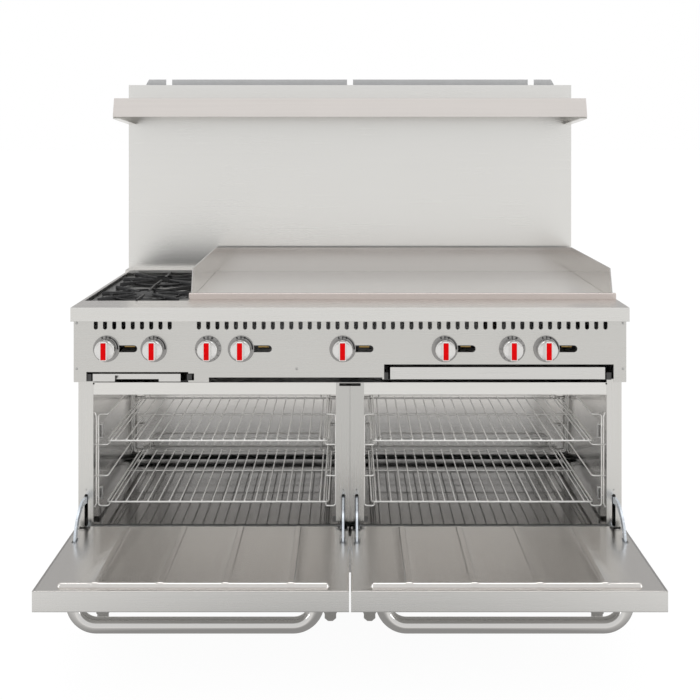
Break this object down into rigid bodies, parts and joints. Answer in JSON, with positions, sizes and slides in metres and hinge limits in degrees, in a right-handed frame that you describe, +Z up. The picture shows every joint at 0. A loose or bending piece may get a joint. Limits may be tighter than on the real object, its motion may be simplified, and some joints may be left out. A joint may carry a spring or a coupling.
{
  "type": "commercial gas range",
  "caption": "Free-standing stainless steel gas range: open burners, griddle with guard and trough, side-by-side ovens with drop doors and racks, knob panel, drip trays, riser and high shelf.",
  "frame": {"origin": "on the floor, under the middle of the box round the range with its oven doors open", "axes": "+X to the cook's right, +Y towards the wall behind, +Z up"},
  "size_m": [1.524, 1.1806, 1.575],
  "materials": {
    "stainless_panel": "brushed stainless steel",
    "oven_steel": "aluminised oven steel, brushed",
    "aluminised_steel": "dull coated sheet",
    "griddle_steel": "ground steel plate",
    "cast_iron": "rough black casting",
    "black_enamel": "black enamel",
    "plated_wire": "bright plated wire",
    "handle_steel": "polished tube",
    "zinc_plate": "blue zinc plating",
    "knob_metal": "satin cast metal with a red marker",
    "dial_steel": "dark brushed dial ring",
    "brass": "machined brass",
    "pipe_paint": "black pipe",
    "burner_tube": "aluminised tube",
    "insulation": "mineral wool board",
    "leg_steel": "turned and plated steel"
  },
  "bodies": {
    "range_body": {"side_panel_left": "stainless_panel", "side_panel_right": "stainless_panel", "front_frame_left": "stainless_panel", "front_frame_right": "stainless_panel", "kick_plate": "stainless_panel", "cooktop_deck": "stainless_panel", "riser_front": "stainless_panel", "high_shelf": "stainless_panel", "shelf_brackets": "stainless_panel", "control_panel": "stainless_panel", "griddle_splash_guard": "stainless_panel", "griddle_trough": "stainless_panel", "panel_screws": "stainless_panel", "oven_liner_left": "oven_steel", "oven_liner_right": "oven_steel", "oven_floors": "oven_steel", "back_panel": "aluminised_steel", "base_pan": "aluminised_steel", "riser_rear": "aluminised_steel", "flue_ducts": "aluminised_steel", "hinge_mounts": "aluminised_steel", "tray_runners": "aluminised_steel", "griddle_plate": "griddle_steel", "open_burners": "cast_iron", "oven_burners": "cast_iron", "burner_bowls": "black_enamel", "rack_guides": "plated_wire", "knob_bezels": "dial_steel", "pilot_valves": "brass", "gas_valves": "brass", "gas_manifold": "pipe_paint", "griddle_burners": "burner_tube", "legs": "leg_steel", "levelling_feet": "leg_steel"},
    "left_door": {"door_skin_left": "stainless_panel", "door_liner_left": "oven_steel", "door_insulation_left": "insulation", "door_handle_left": "handle_steel", "door_hinge_arms_left": "zinc_plate"},
    "right_door": {"door_skin_right": "stainless_panel", "door_liner_right": "oven_steel", "door_insulation_right": "insulation", "door_handle_right": "handle_steel", "door_hinge_arms_right": "zinc_plate"},
    "rack_left_lower": {"rack_left_lower": "plated_wire"},
    "rack_left_upper": {"rack_left_upper": "plated_wire"},
    "rack_right_lower": {"rack_right_lower": "plated_wire"},
    "rack_right_upper": {"rack_right_upper": "plated_wire"},
    "drip_tray": {"drip_tray": "stainless_panel"},
    "grease_tray": {"grease_tray": "stainless_panel"},
    "grate_front": {"grate_front": "cast_iron"},
    "grate_rear": {"grate_rear": "cast_iron"},
    "knob_front_burner": {"knob_front_burner": "knob_metal"},
    "knob_rear_burner": {"knob_rear_burner": "knob_metal"},
    "knob_left_oven": {"knob_left_oven": "knob_metal"},
    "knob_griddle_1": {"knob_griddle_1": "knob_metal"},
    "knob_griddle_2": {"knob_griddle_2": "knob_metal"},
    "knob_griddle_3": {"knob_griddle_3": "knob_metal"},
    "knob_right_oven": {"knob_right_oven": "knob_metal"},
    "knob_griddle_4": {"knob_griddle_4": "knob_metal"}
  },
  "joints": [
    {"name": "left_door_hinge", "type": "hinge", "parent": "range_body", "child": "left_door", "pos_m": [-0.381, -0.19275, 0.275], "axis": [-1, 0, 0], "range_deg": [0, 90]},
    {"name": "right_door_hinge", "type": "hinge", "parent": "range_body", "child": "right_door", "pos_m": [0.381, -0.19275, 0.275], "axis": [-1, 0, 0], "range_deg": [0, 90]},
    {"name": "rack_left_lower_slide", "type": "slide", "parent": "range_body", "child": "rack_left_lower", "axis": [0, 1, 0], "range_m": [-0.3, 0]},
    {"name": "rack_left_upper_slide", "type": "slide", "parent": "range_body", "child": "rack_left_upper", "axis": [0, 1, 0], "range_m": [-0.3, 0]},
    {"name": "rack_right_lower_slide", "type": "slide", "parent": "range_body", "child": "rack_right_lower", "axis": [0, 1, 0], "range_m": [-0.3, 0]},
    {"name": "rack_right_upper_slide", "type": "slide", "parent": "range_body", "child": "rack_right_upper", "axis": [0, 1, 0], "range_m": [-0.3, 0]},
    {"name": "drip_tray_slide", "type": "slide", "parent": "range_body", "child": "drip_tray", "axis": [0, -1, 0], "range_m": [0, 0.45]},
    {"name": "grease_tray_slide", "type": "slide", "parent": "range_body", "child": "grease_tray", "axis": [0, -1, 0], "range_m": [0, 0.38]},
    {"name": "grate_front_lift", "type": "slide", "parent": "range_body", "child": "grate_front", "axis": [0, 0, 1], "range_m": [0, 0.12]},
    {"name": "grate_rear_lift", "type": "slide", "parent": "range_body", "child": "grate_rear", "axis": [0, 0, 1], "range_m": [0, 0.12]},
    {"name": "knob_front_burner_turn", "type": "hinge", "parent": "range_body", "child": "knob_front_burner", "pos_m": [-0.6718, -0.21325, 0.795], "axis": [0, -1, 0], "range_deg": [0, 90]},
    {"name": "knob_rear_burner_turn", "type": "hinge", "parent": "range_body", "child": "knob_rear_burner", "pos_m": [-0.541, -0.21325, 0.795], "axis": [0, -1, 0], "range_deg": [0, 90]},
    {"name": "knob_left_oven_turn", "type": "hinge", "parent": "range_body", "child": "knob_left_oven", "pos_m": [-0.3912, -0.21325, 0.795], "axis": [0, -1, 0], "range_deg": [0, 270]},
    {"name": "knob_griddle_1_turn", "type": "hinge", "parent": "range_body", "child": "knob_griddle_1", "pos_m": [-0.3005, -0.21325, 0.795], "axis": [0, -1, 0], "range_deg": [0, 90]},
    {"name": "knob_griddle_2_turn", "type": "hinge", "parent": "range_body", "child": "knob_griddle_2", "pos_m": [-0.0203, -0.21325, 0.795], "axis": [0, -1, 0], "range_deg": [0, 90]},
    {"name": "knob_griddle_3_turn", "type": "hinge", "parent": "range_body", "child": "knob_griddle_3", "pos_m": [0.2614, -0.21325, 0.795], "axis": [0, -1, 0], "range_deg": [0, 90]},
    {"name": "knob_right_oven_turn", "type": "hinge", "parent": "range_body", "child": "knob_right_oven", "pos_m": [0.447, -0.21325, 0.795], "axis": [0, -1, 0], "range_deg": [0, 270]},
    {"name": "knob_griddle_4_turn", "type": "hinge", "parent": "range_body", "child": "knob_griddle_4", "pos_m": [0.5418, -0.21325, 0.795], "axis": [0, -1, 0], "range_deg": [0, 90]}
  ]
}
